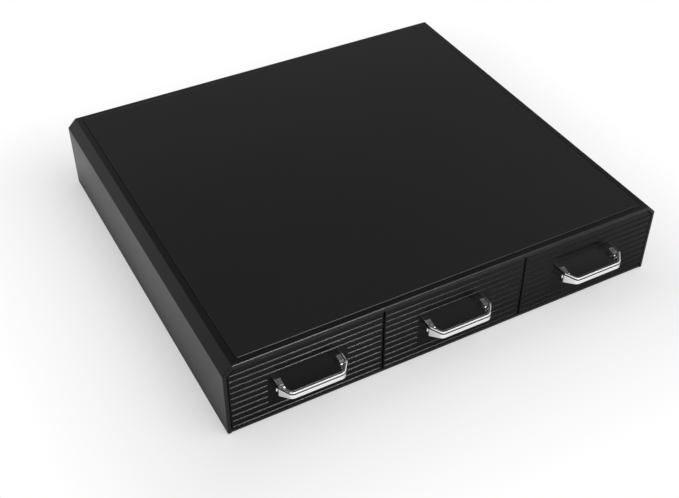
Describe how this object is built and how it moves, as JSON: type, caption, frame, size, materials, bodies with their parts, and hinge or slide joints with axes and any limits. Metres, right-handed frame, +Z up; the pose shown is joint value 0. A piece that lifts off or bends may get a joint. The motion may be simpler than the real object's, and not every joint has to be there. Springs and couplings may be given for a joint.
{
  "type": "coffee pod drawer",
  "caption": "Low casing with a mat on top and side-by-side pull-out drawers for coffee pods, each with a grooved front and a chrome pull.",
  "frame": {"origin": "centre of the footprint, handles included, on the surface that the feet stand on", "axes": "+X to the right as seen from the front, +Y from the drawer fronts to the back, +Z up"},
  "size_m": [0.3404, 0.3198, 0.061],
  "materials": {
    "casing_plastic": "satin black moulded plastic",
    "base_plastic": "plain black moulded plastic",
    "mat_rubber": "matt black, finely textured",
    "front_plastic": "satin black moulded plastic",
    "tray_plastic": "plain black moulded plastic",
    "handle_chrome": "polished chrome",
    "screw_steel": "zinc-plated",
    "foot_rubber": "matt black"
  },
  "bodies": {
    "casing": {"casing_shell": "casing_plastic", "base_panel": "base_plastic", "top_mat": "mat_rubber", "divider_left": "base_plastic", "divider_right": "base_plastic", "base_screws": "screw_steel", "rubber_feet": "foot_rubber"},
    "drawer_left": {"tray_left": "tray_plastic", "front_left": "front_plastic", "handle_left": "handle_chrome", "handle_mounts_left": "handle_chrome", "handle_pins_left": "handle_chrome", "handle_screws_left": "screw_steel", "front_screws_left": "screw_steel"},
    "drawer_middle": {"tray_middle": "tray_plastic", "front_middle": "front_plastic", "handle_middle": "handle_chrome", "handle_mounts_middle": "handle_chrome", "handle_pins_middle": "handle_chrome", "handle_screws_middle": "screw_steel", "front_screws_middle": "screw_steel"},
    "drawer_right": {"tray_right": "tray_plastic", "front_right": "front_plastic", "handle_right": "handle_chrome", "handle_mounts_right": "handle_chrome", "handle_pins_right": "handle_chrome", "handle_screws_right": "screw_steel", "front_screws_right": "screw_steel"}
  },
  "joints": [
    {"name": "drawer_left_slide", "type": "slide", "parent": "casing", "child": "drawer_left", "axis": [0, -1, 0], "range_m": [0, 0.25]},
    {"name": "drawer_middle_slide", "type": "slide", "parent": "casing", "child": "drawer_middle", "axis": [0, -1, 0], "range_m": [0, 0.25]},
    {"name": "drawer_right_slide", "type": "slide", "parent": "casing", "child": "drawer_right", "axis": [0, -1, 0], "range_m": [0, 0.25]}
  ]
}
